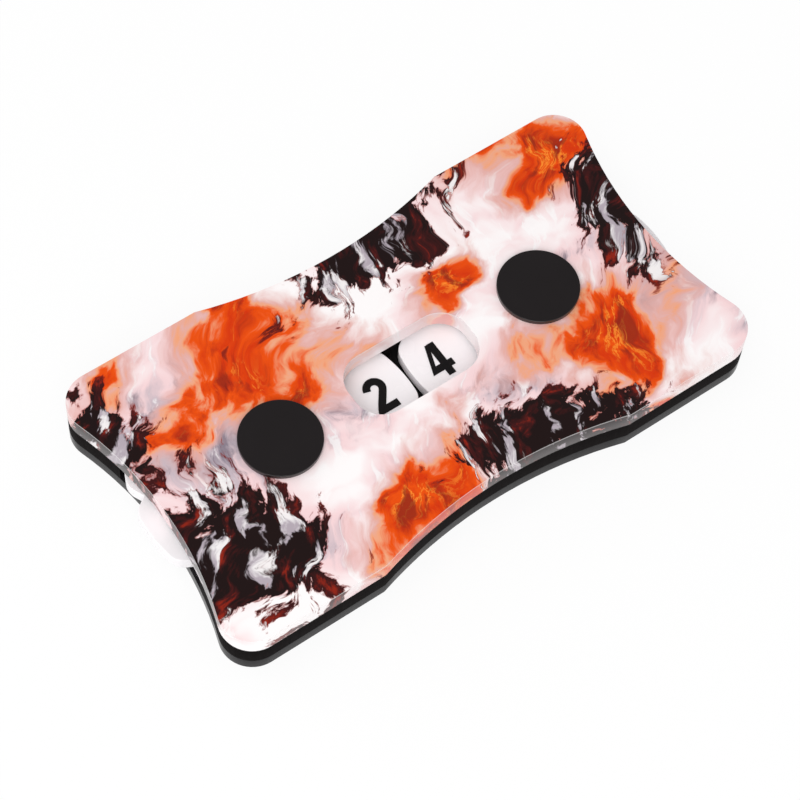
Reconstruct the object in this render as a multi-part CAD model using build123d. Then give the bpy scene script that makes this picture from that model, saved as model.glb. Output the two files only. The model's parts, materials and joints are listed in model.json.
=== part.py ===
from build123d import *
import os
from math import atan2, ceil, cos, degrees, hypot, radians, sin

# A pocket score counter cut from sheet acrylic. Three plates of one outline are stacked and
# held by two binding posts. The middle plate is a spacer whose pockets hold two number
# dials, and each dial turns on its post. One figure of each dial shows through the window
# in the top plate, and the dials stand out at the short sides, where a thumb turns them.
# Millimetres, +Z up, X along the length. The origin is the middle of the underside.

# Dials
dial_radius = 20.2
dial_thickness = 2.0
dial_gap = 0.8
figure_count = 10
notch_depth = 1.7
notch_mouth = 4.0
shoulder_radius = 2.6
tens_rim_turn = 3.5
tens_shown = 2
units_shown = 4

# Case round the dials, seen from above
pocket_clearance = 0.55
side_wall = 1.35
end_cover = 0.3
end_pinch = 2.8
corner_radius = 4.4
waist_dip = 2.8
waist_inset = 1.2

# Layers, from the underside up
bottom_thickness = 2.0
tape_thickness = 0.1
spacer_thickness = 2.8
top_thickness = 2.9
print_thickness = 0.1

# Window in the top plate
window_length = 18.8
window_width = 9.7
window_corner = 4.0

# Throat that takes the sharp tips off the spacer between the two pockets
throat_length = 3.0
throat_margin = 0.3

# Figures printed on the dials
figure_width = 3.25
figure_stroke = 1.05
figure_shift = 0.3
figure_thickness = 0.1
figure_facet = 24
four_width = 3.55
four_apex = 1.3
four_slant = 0.62

# Binding posts, screws and washers
cap_radius = 5.6
cap_thickness = 0.7
cap_bevel = 0.15
barrel_radius = 2.5
running_gap = 0.05
hole_gap = 0.05
washer_radius = 5.0
washer_gap = 0.1
lower_washer = 0.25
screw_radius = 1.5
screw_head_radius = 2.9
screw_head_height = 1.4
screw_recess = 0.1
thread_gap = 0.05
thread_bore_depth = 4.6
screw_reach = 4.2
hex_across_flats = 2.0
hex_depth = 0.9

# Places and overall sizes worked out from the dials
pivot_x = dial_radius + dial_gap / 2
pocket_radius = dial_radius + pocket_clearance
half_length = pivot_x + dial_radius + end_cover
half_width = pocket_radius + side_wall
figure_step = 360 / figure_count
figure_offset = pivot_x - window_length / 4

# Heights worked out from the layers
tape_low = bottom_thickness
spacer_low = tape_low + tape_thickness
spacer_high = spacer_low + spacer_thickness
top_low = spacer_high + tape_thickness
print_low = top_low + top_thickness
print_high = print_low + print_thickness
dial_low = bottom_thickness + lower_washer + running_gap
dial_high = dial_low + dial_thickness
upper_washer = top_low - dial_high - running_gap

dials = {
    "tens": {"side": -1, "shown": tens_shown, "rim_turn": tens_rim_turn},
    "units": {"side": 1, "shown": units_shown, "rim_turn": 0},
}


# Plates

def plate_face():
    """The outline that all plates share: two waisted long sides, two pinched ends."""
    corner_x = half_length - corner_radius
    corner_y = half_width - corner_radius
    end_x = half_length - end_pinch
    reach = end_x - corner_x
    end_radius = (corner_y**2 + reach**2 - corner_radius**2) / (2 * (corner_radius - reach))
    tilt = degrees(atan2(corner_y, reach + end_radius))

    def on_corner(angle):
        return (
            corner_x + corner_radius * cos(radians(angle)),
            corner_y + corner_radius * sin(radians(angle)),
        )

    shoulder = (pivot_x - waist_inset, half_width)
    waist = ThreePointArc((-shoulder[0], half_width), (0, half_width - waist_dip), shoulder)
    start, middle, stop = on_corner(90), on_corner((90 - tilt) / 2), on_corner(-tilt)
    corner = Curve() + [Line(shoulder, start), ThreePointArc(start, middle, stop)]
    end = ThreePointArc(stop, (end_x, 0), (stop[0], -stop[1]))
    left_corner = mirror(corner, Plane.YZ)
    edges = Curve() + [
        waist,
        corner,
        left_corner,
        end,
        mirror(end, Plane.YZ),
        mirror(waist, Plane.XZ),
        mirror(corner, Plane.XZ),
        mirror(left_corner, Plane.XZ),
    ]
    return make_face(edges.edges())


def pivots():
    """The two pivot places, left then right."""
    return [Pos(dial["side"] * pivot_x, 0, 0) for dial in dials.values()]


def window_face():
    return RectangleRounded(window_length, window_width, window_corner)


def layer(face, low, thickness):
    return Pos(0, 0, low) * extrude(face, thickness)


def post_holes(low, high, radius):
    hole = Pos(0, 0, (low + high) / 2) * Cylinder(radius, high - low)
    return [place * hole for place in pivots()]


def make_bottom_plate():
    """Plain lower plate, countersunk from below for the two screws."""
    plate = layer(plate_face(), 0, bottom_thickness)
    shaft = screw_radius + hole_gap
    sink_high = screw_recess + screw_head_height
    sink = Pos(0, 0, sink_high / 2) * Cone(
        screw_head_radius + hole_gap + screw_recess, shaft, sink_high
    )
    for place in pivots():
        plate -= place * sink
    for hole in post_holes(0, bottom_thickness, shaft):
        plate -= hole
    return plate


def spacer_faces():
    """Front and rear halves of the spacer, parted by the dial pockets."""
    throat = window_width + 2 * throat_margin
    face = plate_face()
    for place in pivots():
        face -= place * Circle(pocket_radius)
    face -= Rectangle(throat_length, throat)
    halves = face.faces().sort_by(Axis.Y)
    return {"front": halves[0], "rear": halves[-1]}


def windowed_layer(low, thickness):
    """One layer of the top: the outline less the window and the two post holes."""
    plate = layer(plate_face() - window_face(), low, thickness)
    for hole in post_holes(low, low + thickness, barrel_radius + hole_gap):
        plate -= hole
    return plate


# Dials

def dial_face(rim_turn):
    """Disc with one lobe for each figure, parted by V notches with rounded shoulders."""

    def on_shoulder(vertex):
        """True at a notch's mouth, and not at the circle's own seam, which is on a lobe."""
        angle = degrees(atan2(vertex.Y, vertex.X)) - rim_turn
        from_notch = abs(angle % figure_step - figure_step / 2)
        at_mouth = from_notch < degrees(notch_mouth / dial_radius)
        return at_mouth and hypot(vertex.X, vertex.Y) > dial_radius - notch_depth / 2

    overrun = notch_depth / 2
    spread = notch_mouth / 2 * (notch_depth + overrun) / notch_depth
    notch = make_face(
        Polyline(
            (dial_radius - notch_depth, 0),
            (dial_radius + overrun, spread),
            (dial_radius + overrun, -spread),
            close=True,
        )
    )
    face = Circle(dial_radius)
    for index in range(figure_count):
        face -= Rot(0, 0, rim_turn + figure_step * (index + 0.5)) * notch
    return fillet(face.vertices().filter_by(on_shoulder), shoulder_radius)


# Figures, drawn with strokes of one width about the middle of each figure

half_x = (figure_width - figure_stroke) / 2
bowl_y = half_x
half_y = bowl_y + half_x
figure_height = 2 * half_y + figure_stroke


def bend(radius, middle_y, start, sweep):
    """Points on an arc about (0, middle_y), a facet apart or a little less."""
    steps = ceil(abs(sweep) / figure_facet)
    angles = [radians(start + sweep * index / steps) for index in range(steps + 1)]
    return [(radius * cos(angle), middle_y + radius * sin(angle)) for angle in angles]


def stroke(points, width=figure_stroke):
    """Ribbon of one width along the points, with square ends and mitred corners."""
    places = [Vector(*point) for point in points]
    runs = [(after - before).normalized() for before, after in zip(places, places[1:])]
    normals = [Vector(-run.Y, run.X) for run in runs]
    left, right = [], []
    for place, one, other in zip(places, [normals[0]] + normals, normals + [normals[-1]]):
        mitre = (one + other) * (width / 2 / (1 + one.dot(other)))
        left.append(place + mitre)
        right.append(place - mitre)
    return make_face(Polyline(left + right[::-1], close=True))


def ring(spread):
    """Upright closed loop: two half turns whose middles lie the spread above and below."""

    def loop(radius):
        if spread == 0:
            return RegularPolygon(radius, round(360 / figure_facet))
        ends = bend(radius, spread, 0, 180) + bend(radius, -spread, 180, 180)
        return make_face(Polyline(ends, close=True))

    return loop(half_x + figure_stroke / 2) - loop(half_x - figure_stroke / 2)


def four_face(top):
    """The 4, whose slant is thinner than its stem and runs straight to the end of its bar."""
    stem_x = half_x - figure_stroke / 2
    reach = four_width / 2
    bar_y = figure_stroke - half_y
    bar_low = bar_y - figure_stroke / 2
    apex = (half_x - four_apex, top)
    lean = (apex[0] + reach) / (top - bar_low)
    slant_foot = (lean * figure_stroke / 2 - reach, bar_y)
    room = make_face(
        Polyline((-reach, -top), (-reach, bar_low), apex, (reach, top), (reach, -top), close=True)
    )
    slant = stroke([slant_foot, apex], 2 * four_slant)
    bar = stroke([(-reach, bar_y), (reach, bar_y)])
    stem = stroke([(stem_x, -top), (stem_x, top)])
    return (slant + bar + stem) & room


def figure_face(figure):
    """One upright figure from 0 to 9, centred on the origin."""
    bar_end = figure_width / 2
    top, foot = figure_height / 2, -figure_height / 2
    room = Rectangle(figure_width, figure_height)
    if figure == 0:
        return ring(bowl_y)
    if figure == 1:
        stem_x = figure_stroke / 2
        flag = [(-half_x, half_y - figure_stroke), (stem_x, half_y)]
        return stroke([(stem_x, foot), (stem_x, top)]) + stroke(flag)
    if figure == 2:
        hook = bend(half_x, bowl_y, 175, -210)
        return stroke(hook + [(-half_x, -half_y), (bar_end, -half_y)]) & room
    if figure == 3:
        upper = bend(half_x, bowl_y, 165, -240)
        lower = bend(half_x, -bowl_y, 75, -240)
        waist = [(-figure_stroke / 3, 0), (half_x / 2, 0)]
        return stroke(upper) + stroke(lower) + stroke(waist)
    if figure == 4:
        return four_face(top)
    if figure == 5:
        belly = bend(half_x, -bowl_y, 130, -290)
        return stroke([(bar_end, half_y), (-half_x, half_y)] + belly)
    if figure == 6:
        back = bend(half_x, bowl_y, 15, 165)
        return stroke(back + [(-half_x, -bowl_y)]) + Pos(0, -bowl_y) * ring(0)
    if figure == 7:
        return stroke([(-bar_end, half_y), (half_x, half_y), (-half_x / 3, foot)])
    if figure == 8:
        return Pos(0, bowl_y) * ring(0) + Pos(0, -bowl_y) * ring(0)
    return Rot(0, 0, 180) * figure_face(6)


def make_figures(dial):
    """The ten printed figures of one dial, each upright and a little left in the window."""
    side = dial["side"]
    solids = []
    for figure in range(figure_count):
        turn = side * figure_step * (figure - dial["shown"])
        upright = Pos(-side * figure_offset - figure_shift, 0) * figure_face(figure)
        printed = layer(Rot(0, 0, turn) * upright, dial_high, figure_thickness)
        solids += (Pos(side * pivot_x, 0, 0) * printed).solids()
    return Compound(children=solids)


def make_dial(dial):
    """Number dial, a lobed disc with its bore."""
    face = dial_face(dial["rim_turn"]) - Circle(barrel_radius + running_gap)
    return Pos(dial["side"] * pivot_x, 0, 0) * layer(face, dial_low, dial_thickness)


# Posts, screws and washers, made at the origin and then placed on a pivot

def make_post():
    """Binding post: a wide flat cap and a barrel, tapped from below."""
    cap = layer(Circle(cap_radius), print_high, cap_thickness)
    cap = chamfer(cap.edges().group_by(Axis.Z)[-1], cap_bevel)
    barrel = layer(Circle(barrel_radius), bottom_thickness, print_high - bottom_thickness)
    bore = layer(Circle(screw_radius + thread_gap), bottom_thickness, thread_bore_depth)
    return cap + barrel - bore


def make_screw():
    """Countersunk screw with a hexagon socket, just below the underside."""
    head_middle = screw_recess + screw_head_height / 2
    head = Pos(0, 0, head_middle) * Cone(screw_head_radius, screw_radius, screw_head_height)
    shaft_low = screw_recess + screw_head_height
    shaft_high = bottom_thickness + screw_reach
    shaft = layer(Circle(screw_radius), shaft_low, shaft_high - shaft_low)
    hexagon = RegularPolygon(hex_across_flats / 2, 6, major_radius=False)
    return head + shaft - layer(hexagon, screw_recess, hex_depth)


def make_washer(low, thickness):
    ring = Circle(washer_radius) - Circle(barrel_radius + washer_gap)
    return layer(ring, low, thickness)


# All nodes by name

parts = {
    "bottom_plate": make_bottom_plate(),
    "top_plate": windowed_layer(top_low, top_thickness),
    "print_film": windowed_layer(print_low, print_thickness),
}
for half, face in spacer_faces().items():
    parts[f"tape_lower_{half}"] = layer(face, tape_low, tape_thickness)
    parts[f"spacer_{half}"] = layer(face, spacer_low, spacer_thickness)
    parts[f"tape_upper_{half}"] = layer(face, spacer_high, tape_thickness)
for (name, dial), place in zip(dials.items(), pivots()):
    parts[f"figures_{name}"] = make_figures(dial)
    parts[f"dial_{name}"] = make_dial(dial)
    parts[f"post_{name}"] = place * make_post()
    parts[f"screw_{name}"] = place * make_screw()
    parts[f"washer_lower_{name}"] = place * make_washer(bottom_thickness, lower_washer)
    parts[f"washer_upper_{name}"] = place * make_washer(top_low - upper_washer, upper_washer)

os.makedirs("parts", exist_ok=True)
for name, shape in parts.items():
    export_step(shape, f"parts/{name}.step")
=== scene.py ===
import json
from math import cos, pi, radians, sin

import bmesh
import bpy
from mathutils import Matrix, Vector


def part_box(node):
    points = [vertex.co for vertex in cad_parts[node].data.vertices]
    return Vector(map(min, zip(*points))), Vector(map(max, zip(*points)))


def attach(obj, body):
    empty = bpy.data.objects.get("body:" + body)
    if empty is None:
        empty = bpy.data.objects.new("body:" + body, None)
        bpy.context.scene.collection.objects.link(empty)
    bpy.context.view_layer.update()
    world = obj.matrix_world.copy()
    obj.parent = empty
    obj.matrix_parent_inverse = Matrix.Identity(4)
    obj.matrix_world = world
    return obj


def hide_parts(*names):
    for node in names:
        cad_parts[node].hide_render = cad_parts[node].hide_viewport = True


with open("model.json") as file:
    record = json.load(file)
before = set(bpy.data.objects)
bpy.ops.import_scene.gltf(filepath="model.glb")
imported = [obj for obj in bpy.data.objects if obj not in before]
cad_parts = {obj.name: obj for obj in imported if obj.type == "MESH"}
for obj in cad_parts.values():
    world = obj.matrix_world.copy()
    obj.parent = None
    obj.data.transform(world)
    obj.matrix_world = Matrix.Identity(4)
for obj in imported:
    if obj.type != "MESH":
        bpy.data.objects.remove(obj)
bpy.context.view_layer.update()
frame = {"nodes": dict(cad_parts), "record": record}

# A pocket score counter of three acrylic plates with two white number dials between them,
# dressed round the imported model. Lengths are in metres, and MM turns millimetres into them.
MM = 0.001
nodes = frame["nodes"]
slots = {part["node"]: part["material_slot"] for part in frame["record"]["subparts"]}
bodies = {node: body for body, named in frame["record"]["behaviour"]["bodies"].items() for node in named}

# Eased edges of sheets, dials and screws, by finish: the width, and the steps across it
EASES = {
    "clear_plate": (0.04 * MM, 3),
    "black_plate": (0.06 * MM, 2),
    "smoke_plate": (0.06 * MM, 2),
    "white_dial": (0.14 * MM, 3),
    "steel_screw": (0.05 * MM, 2),
}

# Angles between faces: above the first an edge is sharp, and below the second two faces are one
SHARP_ANGLE = radians(32)
FLAT_ANGLE = radians(0.5)

# Facets of the figures: the angles of the edges that are rounded, how far into the facets, and the steps
FACET_ANGLES = (radians(8), radians(40))
FACET_PERCENT = 46
FACET_STEPS = 4

# Points nearer than the first are one, and lengths nearer than the second are the same
MERGE_GAP = 0.001 * MM
SAME_LENGTH = 0.01 * MM

# Cap of a binding post
CAP_ROUND = 0.13 * MM
CAP_LIFT = 0.03 * MM
CAP_STEPS = 96
ROUND_STEPS = 6

# The photograph's viewpoint, fitted to the plate's outline in an 800 x 800 picture
VIEW_AZIMUTH = -39.67
VIEW_ELEVATION = 60.91
VIEW_ROLL = 5.2
VIEW_TARGET = Vector((-3.26, -2.25, 4.6)) * MM
VIEW_DISTANCE = 343.65 * MM
VIEW_LENS = 118.06
SENSOR_WIDTH = 36.0

# Floor, tent of light, and lamps, as (name, place, size, power)
FLOOR_SIZE = 4.0
FLOOR_GAP = 0.02 * MM
FLOOR_WHITE = 0.9
TENT_LIGHT = 0.58
LAMPS = [
    ("key_light", (-0.25, 0.15, 0.75), 0.5, 0.8),
    ("front_light", (-0.35, -0.4, 0.5), 0.5, 2.4),
    ("back_light", (-0.3, 0.75, 0.35), 0.4, 1.0),
]

# Rays that see the background as plain white
SHOWING_RAYS = ("Is Camera Ray", "Is Glossy Ray", "Is Transmission Ray")


# Colours: written as they look on a screen, from 0 to 255, and turned to light values here

def tone(red, green, blue):
    """The light values of a screen colour, by the usual screen curve."""
    channels = []
    for value in (red / 255, green / 255, blue / 255):
        channels.append(value / 12.92 if value <= 0.04045 else ((value + 0.055) / 1.055) ** 2.4)
    return (*channels, 1.0)


WHITE = tone(255, 255, 255)
PALE = tone(254, 250, 250)
BLUSH = tone(247, 214, 216)
ROSE = tone(228, 172, 164)
LAVENDER = tone(188, 176, 186)
SLATE = tone(112, 104, 120)
PEACH = tone(242, 166, 126)
AMBER = tone(252, 150, 52)
ORANGE = tone(236, 82, 12)
FLAME = tone(214, 54, 8)
EMBER = tone(142, 36, 20)
MAROON = tone(66, 20, 20)
SOOT = tone(28, 14, 14)


# Shader maths as Python expressions

# The middle level of every noise
NOISE_MIDDLE = 0.5


class Value:
    """One number socket, with the operators that the patterns use."""

    def __init__(self, sheet, socket):
        self.sheet = sheet
        self.socket = socket

    def math(self, operation, first, second=0.0):
        made = self.sheet.node("Math", {"operation": operation}, {0: first, 1: second})
        return Value(self.sheet, made.outputs[0])

    def __add__(self, other):
        return self.math("ADD", self, other)

    def __sub__(self, other):
        return self.math("SUBTRACT", self, other)

    def __rsub__(self, other):
        return self.math("SUBTRACT", other, self)

    def __mul__(self, other):
        return self.math("MULTIPLY", self, other)

    __radd__ = __add__
    __rmul__ = __mul__

    def __abs__(self):
        return self.math("ABSOLUTE", self)

    def over(self, other):
        """The larger of the two."""
        return self.math("MAXIMUM", self, other)

    def blend(self, other, share):
        """The two added, with this share of the other."""
        return self * (1 - share) + other * share

    def rise(self, low, high):
        """0 below low, 1 above high, and a smooth rise between them."""
        settings = {"interpolation_type": "SMOOTHSTEP"}
        made = self.sheet.node("MapRange", settings, {0: self, 1: low, 2: high})
        return Value(self.sheet, made.outputs[0])


class Nodes:
    """The nodes of a material or of the world."""

    def __init__(self, owner):
        owner.use_nodes = True
        self.tree = owner.node_tree
        self.tree.nodes.clear()

    def node(self, kind, settings=(), inputs=()):
        """One node of a kind, its settings made first, then its sockets filled or linked."""
        made = self.tree.nodes.new("ShaderNode" + kind)
        for name, setting in dict(settings).items():
            if name == "stops":
                stops = made.color_ramp.elements
                while len(stops) < len(setting):
                    stops.new(1.0)
                for stop, (place, colour) in zip(stops, setting):
                    stop.position = place
                    stop.color = colour
            else:
                setattr(made, name, setting)
        for key, given in dict(inputs).items():
            given = getattr(given, "socket", given)
            if isinstance(given, bpy.types.NodeSocket):
                self.tree.links.new(given, made.inputs[key])
            else:
                made.inputs[key].default_value = given
        return made

    def showing(self):
        """1 for the rays that show the background: from the camera, off gloss and through glass."""
        rays = self.node("LightPath").outputs
        camera, gloss, glass = (Value(self, rays[name]) for name in SHOWING_RAYS)
        return camera.over(gloss).over(glass)


class Sheet(Nodes):
    """The nodes of one material, round one Principled shader."""

    def __init__(self, name, **sockets):
        self.material = bpy.data.materials.new(name)
        super().__init__(self.material)
        named = {socket.replace("_", " "): value for socket, value in sockets.items()}
        self.shader = self.node("BsdfPrincipled", {}, named)
        self.output = self.node("OutputMaterial", {}, {"Surface": self.shader.outputs[0]})

    def feed(self, name, given):
        self.tree.links.new(getattr(given, "socket", given), self.shader.inputs[name])

    def roughen(self, pattern, least, spread):
        """Roughness from the least value up, by the pattern's part of the spread."""
        self.feed("Roughness", pattern * spread + least)

    def bump(self, height, distance, strength):
        inputs = {"Height": height, "Distance": distance, "Strength": strength}
        self.feed("Normal", self.node("Bump", {}, inputs).outputs[0])

    def vector(self, operation, first, second):
        return self.node("VectorMath", {"operation": operation}, {0: first, 1: second}).outputs[0]

    def place(self):
        """Object coordinates in millimetres."""
        coordinates = self.node("TexCoord").outputs["Object"]
        return self.vector("MULTIPLY", coordinates, (1 / MM, 1 / MM, 1 / MM))

    def upright(self, place, share):
        """The place with this share of its height, so that a pattern on it is drawn out upwards."""
        return self.vector("MULTIPLY", place, (1, 1, share))

    def axis(self, vector, index):
        return Value(self, self.node("SeparateXYZ", {}, {0: vector}).outputs[index])

    def normal(self):
        return self.node("NewGeometry").outputs["Normal"]

    def wall(self, low, high):
        """1 on upright faces and 0 on level ones, between two upward parts of the normal."""
        return 1 - abs(self.axis(self.normal(), 2)).rise(low, high)

    def local(self, place, middle, tilt, scale):
        """The place as measured from a middle, along tilted axes and in units of the scale."""
        inputs = {"Vector": place, "Location": middle, "Rotation": (0, 0, radians(tilt)), "Scale": scale}
        return self.node("Mapping", {"vector_type": "TEXTURE"}, inputs).outputs[0]

    def noise(self, place, size, detail=2.0, roughness=0.5, output=0):
        """Cloudy noise whose blots are about as large as the size."""
        inputs = {"Vector": place, "Scale": 1 / size, "Detail": detail, "Roughness": roughness}
        made = self.node("TexNoise", {}, inputs)
        return made.outputs[output] if output else Value(self, made.outputs[0])

    def streaks(self, place, tilt, stretch, shift, size, detail, roughness):
        """Noise drawn out along a tilted line by the stretch, and moved off by the shift."""
        local = self.local(place, (shift, -shift, 0), tilt, (stretch, 1, 1))
        return self.noise(local, size, detail, roughness)

    def drifted(self, place, size, reach):
        """The place pushed about by a soft noise, mostly within half the reach."""
        noise = self.noise(place, size, detail=3.0, output=1)
        push = self.vector("SUBTRACT", noise, (NOISE_MIDDLE, NOISE_MIDDLE, NOISE_MIDDLE))
        return self.vector("ADD", place, self.vector("MULTIPLY", push, (reach, reach, 0)))

    def mix(self, factor, first, second):
        return self.node("Mix", {"data_type": "RGBA"}, {0: factor, 6: first, 7: second}).outputs[2]

    def ramp(self, factor, stops):
        return self.node("ValToRGB", {"stops": stops}, {0: factor}).outputs[0]


# The printed picture: an abstract of hot metal, mist and soot poured over each other

# Pools on the plate, as (x, y, half length, half width, tilt in degrees), in millimetres
HEAT_POOLS = [
    (-21, 13, 17, 9, -14),
    (27, -11, 16, 9, 22),
    (-10, -14, 11, 5, 25),
    (32, 17, 11, 6, -25),
    (9, 9, 7, 4, 40),
]
SOOT_POOLS = [
    (5, 18, 16, 6, 10),
    (-34, -10, 10, 12, 20),
    (38, 4, 6, 11, 0),
    (10, -18, 15, 6, -12),
    (-38, 14, 5, 8, 0),
]
# The window's walls, round which the clear plate's edge gets a stronger painted glow
WINDOW_POOL = [(0, 0, 12, 8, 0)]

# Drift of the whole picture, as size and reach in millimetres
WIDE_DRIFT = (22, 18)
FINE_DRIFT = (7, 5)

# Streaked noises, as tilt in degrees, stretch, shift, size in millimetres, detail and roughness
CLOUD_STREAKS = (32, 1.6, 41, 12, 6.0, 0.52)
GRIT_STREAKS = (50, 2.2, 13, 2.6, 6.0, 0.62)
MIST_STREAKS = (-15, 1.8, 77, 16, 4.0, 0.5)
FROST_STREAKS = (62, 3.2, 23, 2.8, 6.0, 0.6)

# How strongly each pattern pulls on the heat and on the soot
POOL_HEAT, GRIT_HEAT = 0.2, 0.16
POOL_SOOT, MIST_SOOT, GRIT_SOOT = 0.22, 0.3, 0.7

# Levels between which a colour comes in, and the most there is of it
BLUSH_IN = (0.4, 0.52)
LAVENDER_IN, LAVENDER_MOST = (0.49, 0.58), 0.85
SLATE_GRIT_IN, SLATE_MIST_IN, SLATE_MOST = (0.5, 0.6), (0.46, 0.56), 0.8
FROST_IN, FROST_MOST = (0.55, 0.62), 0.8
HAZE_IN, HAZE_MOST = (0.41, 0.53), 0.75
GLOW_IN = (0.49, 0.54)
VEIN_HEAT_IN, VEIN_MOST = (0.6, 0.68), 0.8
SMOKE_IN, SMOKE_HEAT_IN, SMOKE_MOST = (0.47, 0.55), (0.58, 0.66), 0.85
SNOW_IN, SNOW_BEDS_IN, SNOW_MOST = (0.55, 0.6), (-0.5, -0.2), 0.9
SNOW_PALE_IN = (0.45, 0.6)
RIM_IN, RIM_MOST = (0.495, 0.525), 0.8
CRUST_IN = (0.52, 0.532)

# How far from its middle the grit is where a glowing vein begins to fade and where it ends
VEIN_WIDTH = (0.004, 0.03)

# Colours of the glow by its heat, and of the crust by its grit
GLOW_STOPS = [
    (0.52, ROSE),
    (0.55, PEACH),
    (0.58, ORANGE),
    (0.63, FLAME),
    (0.68, ORANGE),
    (0.75, FLAME),
    (0.82, EMBER),
]
CRUST_STOPS = [(0.4, SOOT), (0.52, SOOT), (0.6, MAROON), (0.67, EMBER)]


def pools(sheet, place, listed):
    """1 at the middle of the nearest pool, 0 at its rim and less beyond it."""
    field = None
    for x, y, half_length, half_width, tilt in listed:
        local = sheet.local(place, (x, y, 0), tilt, (half_length, half_width, 1))
        length = sheet.node("VectorMath", {"operation": "LENGTH"}, {0: local}).outputs["Value"]
        inside = 1 - Value(sheet, length)
        field = inside if field is None else field.over(inside)
    return field


def picture(sheet, place):
    """Colour of the printed picture at a place on the plate."""
    flow = sheet.drifted(sheet.drifted(sheet.upright(place, share=0), *WIDE_DRIFT), *FINE_DRIFT)
    cloud = sheet.streaks(flow, *CLOUD_STREAKS)
    grit = sheet.streaks(flow, *GRIT_STREAKS)
    mist = sheet.streaks(flow, *MIST_STREAKS)
    frost = sheet.streaks(flow, *FROST_STREAKS)

    ground = sheet.mix(mist.rise(*BLUSH_IN), PALE, BLUSH)
    ground = sheet.mix(mist.blend(frost, share=0.3).rise(*LAVENDER_IN) * LAVENDER_MOST, ground, LAVENDER)
    shade = grit.blend(mist, share=0.4).rise(*SLATE_GRIT_IN) * mist.rise(*SLATE_MIST_IN)
    ground = sheet.mix(shade * SLATE_MOST, ground, SLATE)
    ground = sheet.mix(frost.rise(*FROST_IN) * FROST_MOST, ground, PALE)

    heat = pools(sheet, flow, HEAT_POOLS) * POOL_HEAT + cloud + (grit - NOISE_MIDDLE) * GRIT_HEAT
    glow = sheet.ramp(heat, GLOW_STOPS)
    haze = heat.rise(*HAZE_IN) * HAZE_MOST
    colour = sheet.mix(heat.rise(*GLOW_IN), sheet.mix(haze, ground, ROSE), glow)
    veins = 1 - abs(grit - NOISE_MIDDLE).rise(*VEIN_WIDTH)
    colour = sheet.mix(veins * heat.rise(*VEIN_HEAT_IN) * VEIN_MOST, colour, AMBER)
    smoke = frost.blend(mist, share=0.3).rise(*SMOKE_IN) * heat.rise(*SMOKE_HEAT_IN)
    colour = sheet.mix(smoke * SMOKE_MOST, colour, EMBER)

    beds = pools(sheet, flow, SOOT_POOLS)
    soot = beds * POOL_SOOT + mist * MIST_SOOT + grit * GRIT_SOOT
    crust = sheet.ramp(grit, CRUST_STOPS)
    snow = frost.rise(*SNOW_IN) * beds.rise(*SNOW_BEDS_IN) * SNOW_MOST
    crust = sheet.mix(snow, crust, sheet.mix(grit.rise(*SNOW_PALE_IN), LAVENDER, PALE))
    colour = sheet.mix(soot.rise(*RIM_IN) * RIM_MOST, colour, EMBER)
    return sheet.mix(soot.rise(*CRUST_IN), colour, crust)


# Finishes: sizes of patterns and heights on the plate are in millimetres

# The clear plate's edge: how far in the picture is read for its painted reflection, the painted glow of the
# light inside the plate laid over it, and the painted glint under its top
READ_INWARD = 0.9
EDGE_GLOW, EDGE_GLOW_FADE = 0.11, 0.08
WINDOW_RIM, WINDOW_GLOW = (0.0, 0.08), 0.4
GLINT_FOOT, GLINT_FULL, GLINT_MOST = 0.3, 0.18, 0.35
EDGE_GLOW_COLOUR = tone(250, 244, 245)
GLINT_COLOUR = tone(255, 252, 252)

# The cut edge of black and smoke sheets: how far height and the cutter's lines move its colour; the height
# moves it toward a paler foot, a painted reflection of the white floor
EDGE_LIFT, EDGE_LINES = 0.75, 0.5


def printed_face():
    """Glossy ink that shows the picture."""
    sheet = Sheet("printed_face", Specular_IOR_Level=0.07)
    place = sheet.place()
    sheet.feed("Base Color", picture(sheet, place))
    sheet.roughen(sheet.noise(place, size=8, detail=4.0), least=0.12, spread=0.12)
    return sheet.material


def clear_plate():
    """Clear sheet seen on edge: a painted reflection of the picture in it, under a painted glow of the light
    inside, and a painted glint under its top.
    """
    sheet = Sheet("clear_plate", Specular_IOR_Level=0.12)
    place = sheet.place()
    low, high = (corner.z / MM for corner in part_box("top_plate"))
    height = sheet.axis(place, 2)
    # Painted reflection: the lower on the edge, the further inside the plate the picture is read, as if
    # mirrored within the clear sheet
    inputs = {0: sheet.normal(), "Scale": (high - height) * -READ_INWARD}
    inward = sheet.node("VectorMath", {"operation": "SCALE"}, inputs).outputs[0]
    window = pools(sheet, sheet.upright(place, share=0), WINDOW_POOL).rise(*WINDOW_RIM)
    # Painted glow: the edge is painted paler toward its foot and round the window, standing in for light
    # carried inside the clear plate
    edge_glow = EDGE_GLOW - height.rise(low, high) * EDGE_GLOW_FADE + window * WINDOW_GLOW
    colour = sheet.mix(edge_glow, picture(sheet, sheet.vector("ADD", place, inward)), EDGE_GLOW_COLOUR)
    # Painted glint: a pale band painted into the colour just under the top edge
    glint = height.rise(high - GLINT_FOOT, high - GLINT_FULL)
    sheet.feed("Base Color", sheet.mix(glint * GLINT_MOST, colour, GLINT_COLOUR))
    sheet.roughen(sheet.noise(sheet.upright(place, share=0.1), size=0.5, detail=2.0), least=0.12, spread=0.1)
    return sheet.material


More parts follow.
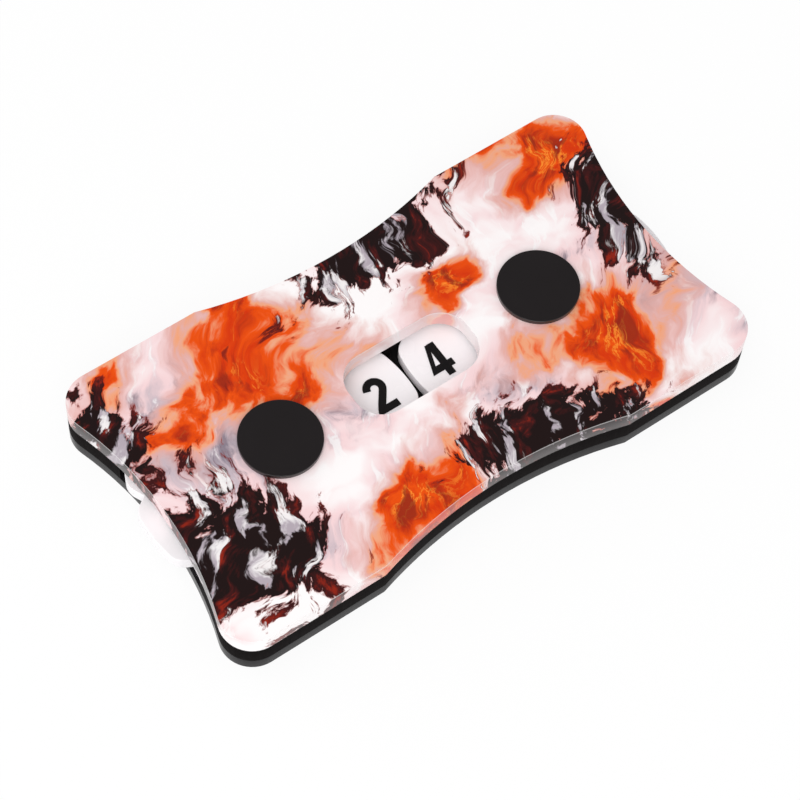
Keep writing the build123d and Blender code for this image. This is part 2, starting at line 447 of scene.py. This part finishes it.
def cut_sheet(name, node, face, top_edge, foot_reflection, specular, roughness):
    """Coloured acrylic: plain glossy faces, and cut walls with the fine upright lines of the cutter, painted
    paler toward their foot as a painted reflection of the white floor.
    """
    sheet = Sheet(name, Specular_IOR_Level=specular)
    place = sheet.place()
    low, high = (corner.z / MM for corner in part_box(node))
    lines = sheet.noise(sheet.upright(place, share=0.06), size=0.35, detail=3.0, roughness=0.7)
    wall = sheet.wall(low=0.3, high=0.8)
    lift = sheet.axis(place, 2).rise(low, high)
    # Painted reflection: the wall goes from the top colour down to the paler foot colour, for the white
    # floor mirrored in it near the foot
    edge = sheet.mix(lift * EDGE_LIFT + (lines - NOISE_MIDDLE) * EDGE_LINES, foot_reflection, top_edge)
    sheet.feed("Base Color", sheet.mix(wall, face, edge))
    sheet.roughen(lines, least=roughness, spread=0.2)
    sheet.bump(lines * wall, distance=0.03 * MM, strength=0.4)
    return sheet.material


def grained(name, colour, light, roughness, grain, depth, specular=0.2):
    """Plain moulded, coated or filmed surface with a fine grain of a size and depth."""
    sheet = Sheet(name, Specular_IOR_Level=specular)
    speckle = sheet.noise(sheet.place(), size=grain, detail=4.0, roughness=0.6)
    sheet.feed("Base Color", sheet.mix(speckle.rise(low=0.35, high=0.75), colour, light))
    sheet.roughen(speckle, least=roughness, spread=0.2)
    sheet.bump(speckle, distance=depth * MM, strength=0.5)
    return sheet.material


def black_cap():
    """Matt top, and a glossy side wall that mirrors the print round it."""
    sheet = Sheet("black_cap", Specular_IOR_Level=0.1, Coat_Roughness=0.08)
    place = sheet.place()
    speckle = sheet.noise(place, size=0.2, detail=4.0, roughness=0.6)
    wear = sheet.noise(place, size=5, detail=3.0)
    wall = sheet.wall(low=0.6, high=0.95)
    sheet.feed("Base Color", sheet.mix(wear.blend(speckle, share=0.3), tone(21, 17, 18), tone(28, 24, 25)))
    sheet.roughen(speckle, least=0.36, spread=0.2)
    sheet.feed("Coat Weight", wall)
    sheet.bump(speckle * (1 - wall), distance=0.01 * MM, strength=0.5)
    return sheet.material


def white_dial():
    """White acrylic, very faintly clouded."""
    sheet = Sheet("white_dial", Specular_IOR_Level=0.4)
    cloud = sheet.noise(sheet.place(), size=12, detail=3.0)
    sheet.feed("Base Color", sheet.mix(cloud, tone(255, 253, 254), tone(250, 246, 249)))
    sheet.roughen(cloud, least=0.2, spread=0.15)
    return sheet.material


def steel_screw():
    """Blackened steel with a fine grain."""
    sheet = Sheet("steel_screw", Metallic=1.0)
    brushed = sheet.noise(sheet.place(), size=0.45, detail=5.0, roughness=0.7)
    sheet.feed("Base Color", sheet.mix(brushed, tone(72, 70, 72), tone(118, 114, 112)))
    sheet.roughen(brushed, least=0.25, spread=0.25)
    return sheet.material


finishes = {
    "printed_face": printed_face(),
    "clear_plate": clear_plate(),
    # The foot colours, paler than the tops, are painted reflections of the white floor
    "black_plate": cut_sheet(
        "black_plate", "spacer_front", face=tone(16, 13, 14), top_edge=tone(17, 14, 14),
        foot_reflection=tone(24, 21, 21), specular=0.01, roughness=0.5,
    ),
    "smoke_plate": cut_sheet(
        "smoke_plate", "bottom_plate", face=tone(30, 28, 30), top_edge=tone(20, 18, 20),
        foot_reflection=tone(46, 44, 46), specular=0.06, roughness=0.12,
    ),
    "tape": grained(
        "tape", tone(22, 19, 20), tone(30, 27, 28), roughness=0.5, grain=0.3, depth=0.01, specular=0.1
    ),
    "white_dial": white_dial(),
    "black_figures": grained(
        "black_figures", tone(12, 10, 11), tone(18, 16, 17), roughness=0.5, grain=0.25, depth=0.005,
        specular=0.1,
    ),
    "black_cap": black_cap(),
    "steel_screw": steel_screw(),
    "nylon_washer": grained(
        "nylon_washer", tone(214, 210, 200), tone(226, 222, 214), roughness=0.4, grain=0.7, depth=0.01
    ),
}


# Pieces, each named for the CAD node that it stands for

def pick(piece):
    """Select one piece alone and make it the active one."""
    bpy.ops.object.select_all(action="DESELECT")
    piece.select_set(True)
    bpy.context.view_layer.objects.active = piece


def edit(piece, action="SELECT"):
    """Edit mode on one piece alone, with all of it selected, or nothing."""
    pick(piece)
    bpy.ops.object.mode_set(mode="EDIT")
    bpy.ops.mesh.select_all(action=action)


def made_piece(node, mesh):
    """A new piece of this mesh, named for its node."""
    piece = bpy.data.objects.new(f"{node}_finished", mesh)
    bpy.context.scene.collection.objects.link(piece)
    return piece


def copied(node):
    """A copy of a node's mesh as a new piece, its loose triangles merged into whole faces."""
    piece = made_piece(node, nodes[node].data.copy())
    edit(piece)
    bpy.ops.mesh.remove_doubles(threshold=MERGE_GAP)
    bpy.ops.mesh.dissolve_limited(angle_limit=FLAT_ANGLE)
    bpy.ops.object.mode_set(mode="OBJECT")
    return piece


def modified(piece, kind, **settings):
    """A modifier put on the piece and applied."""
    pick(piece)
    modifier = piece.modifiers.new(kind.lower(), kind)
    for name, setting in settings.items():
        setattr(modifier, name, setting)
    bpy.ops.object.modifier_apply(modifier=modifier.name)


def finish_piece(piece, node):
    """Smooth edges beside flat faces, finish, body and the node that the piece stands for."""
    pick(piece)
    bpy.ops.object.shade_smooth_by_angle(angle=SHARP_ANGLE)
    modified(piece, "WEIGHTED_NORMAL", weight=100, keep_sharp=True)
    piece.data.materials.clear()
    piece.data.materials.append(finishes[slots[node]])
    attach(piece, bodies[node])
    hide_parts(node)


def eased(node, ease, steps):
    """A sheet, dial or screw with its sharp edges eased."""
    piece = copied(node)
    modified(
        piece, "BEVEL", width=ease, segments=steps, limit_method="ANGLE",
        angle_limit=SHARP_ANGLE, use_clamp_overlap=True,
    )
    finish_piece(piece, node)


def smooth_figures(node):
    """The printed figures, whose facetted bowls are rounded at each facet's edge."""
    piece = copied(node)
    edit(piece, "DESELECT")
    mesh = bmesh.from_edit_mesh(piece.data)
    low, high = FACET_ANGLES
    for edge in mesh.edges:
        upright = abs(edge.verts[0].co.z - edge.verts[1].co.z) > SAME_LENGTH
        if upright and len(edge.link_faces) == 2:
            edge.select_set(low < edge.calc_face_angle() < high)
    bmesh.update_edit_mesh(piece.data)
    bpy.ops.mesh.bevel(
        offset_type="PERCENT", offset_pct=FACET_PERCENT, segments=FACET_STEPS, affect="EDGES"
    )
    bpy.ops.object.mode_set(mode="OBJECT")
    finish_piece(piece, node)


def spun_post(node):
    """Binding post turned from its half section: a cap with a rounded rim, and its barrel."""
    low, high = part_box(node)
    middle = (low + high) / 2
    film_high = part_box("print_film")[1].z
    cap_radius = (high.x - low.x) / 2
    barrel_radius, bore_radius, bore_top = post_sizes(node, middle, low.z)
    ring = [
        (cap_radius - CAP_ROUND + CAP_ROUND * sin(turn), high.z - CAP_ROUND + CAP_ROUND * cos(turn))
        for turn in (pi / 2 * step / ROUND_STEPS for step in range(ROUND_STEPS + 1))
    ]
    section = [
        (0, high.z),
        *ring,
        (cap_radius, film_high + CAP_LIFT),
        (cap_radius - CAP_LIFT, film_high),
        (barrel_radius, film_high),
        (barrel_radius, low.z),
        (bore_radius, low.z),
        (bore_radius, bore_top),
        (0, bore_top),
    ]
    points = [(middle.x + radius, middle.y, z) for radius, z in section]
    lines = [(index, index + 1) for index in range(len(section) - 1)]
    mesh = bpy.data.meshes.new(f"{node}_finished")
    mesh.from_pydata(points, lines, [])
    piece = made_piece(node, mesh)
    edit(piece)
    bpy.ops.mesh.spin(steps=CAP_STEPS, angle=2 * pi, center=(middle.x, middle.y, 0), axis=(0, 0, 1))
    bpy.ops.mesh.select_all(action="SELECT")
    bpy.ops.mesh.remove_doubles(threshold=MERGE_GAP)
    bpy.ops.mesh.normals_make_consistent(inside=False)
    bpy.ops.object.mode_set(mode="OBJECT")
    finish_piece(piece, node)


def post_sizes(node, middle, foot):
    """Radius of the barrel and of the bore, and the height of the bore's end, read from the node."""
    places = [
        (((v.co.x - middle.x) ** 2 + (v.co.y - middle.y) ** 2) ** 0.5, v.co.z)
        for v in nodes[node].data.vertices
    ]
    rings = {round(radius, 6) for radius, z in places if abs(z - foot) < SAME_LENGTH}
    bore, barrel = min(rings), max(rings)
    bore_top = max(z for radius, z in places if abs(radius - bore) < SAME_LENGTH)
    return barrel, bore, bore_top


for node in nodes:
    slot = slots[node]
    if slot in EASES:
        eased(node, *EASES[slot])
    elif slot == "black_figures":
        smooth_figures(node)
    elif slot == "black_cap":
        spun_post(node)
    else:
        for material_slot in nodes[node].material_slots:
            material_slot.material = finishes[slot]


# Floor, light and camera

def floor():
    """White floor that keeps the object's shadow."""
    sheet = Sheet("floor", Roughness=1.0, Specular_IOR_Level=0.0)
    sheet.shader.inputs["Base Color"].default_value = tone(252, 252, 252)
    white = sheet.node("Emission", {}, {"Strength": 1.0}).outputs[0]
    inputs = {0: sheet.showing() * FLOOR_WHITE, 1: sheet.shader.outputs[0], 2: white}
    blend = sheet.node("MixShader", {}, inputs)
    sheet.tree.links.new(blend.outputs[0], sheet.output.inputs["Surface"])
    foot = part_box("bottom_plate")[0].z
    bpy.ops.object.select_all(action="DESELECT")
    bpy.ops.mesh.primitive_plane_add(size=FLOOR_SIZE, location=(0, 0, foot - FLOOR_GAP))
    plane = bpy.context.object
    plane.name = "floor"
    plane.data.materials.append(sheet.material)


def lamp(name, place, size, power):
    """Square lamp aimed at the origin, the middle of the underside."""
    bpy.ops.object.light_add(type="AREA", location=place)
    made = bpy.context.object
    made.name = name
    made.data.size = size
    made.data.energy = power
    made.rotation_euler = (-Vector(place)).to_track_quat("-Z", "Y").to_euler()


def studio():
    """Soft tent of light, plain white where it shows, and three large lamps."""
    world = bpy.data.worlds.new("studio")
    bpy.context.scene.world = world
    sky = Nodes(world)
    tent = sky.node("Background", {}, {"Color": WHITE, "Strength": TENT_LIGHT})
    backdrop = sky.node("Background", {}, {"Color": WHITE, "Strength": 1.0})
    blend = sky.node("MixShader", {}, {0: sky.showing(), 1: tent.outputs[0], 2: backdrop.outputs[0]})
    sky.node("OutputWorld", {}, {"Surface": blend.outputs[0]})
    for name, place, size, power in LAMPS:
        lamp(name, place, size, power)


def camera():
    """Camera at the photograph's viewpoint, aimed at the target and rolled."""
    azimuth, elevation, roll = radians(VIEW_AZIMUTH), radians(VIEW_ELEVATION), radians(VIEW_ROLL)
    back = Vector((sin(azimuth) * cos(elevation), -cos(azimuth) * cos(elevation), sin(elevation)))
    across = (-back).cross(Vector((0, 0, 1))).normalized()
    above = across.cross(-back)
    right = across * cos(roll) + above * sin(roll)
    up = above * cos(roll) - across * sin(roll)
    bpy.ops.object.camera_add()
    view = bpy.context.object
    view.matrix_world = Matrix((right, up, back)).transposed().to_4x4()
    view.location = VIEW_TARGET + back * VIEW_DISTANCE
    view.data.lens = VIEW_LENS
    view.data.sensor_width = SENSOR_WIDTH
    bpy.context.scene.camera = view


floor()
studio()
camera()
bpy.context.scene.view_settings.view_transform = "Standard"
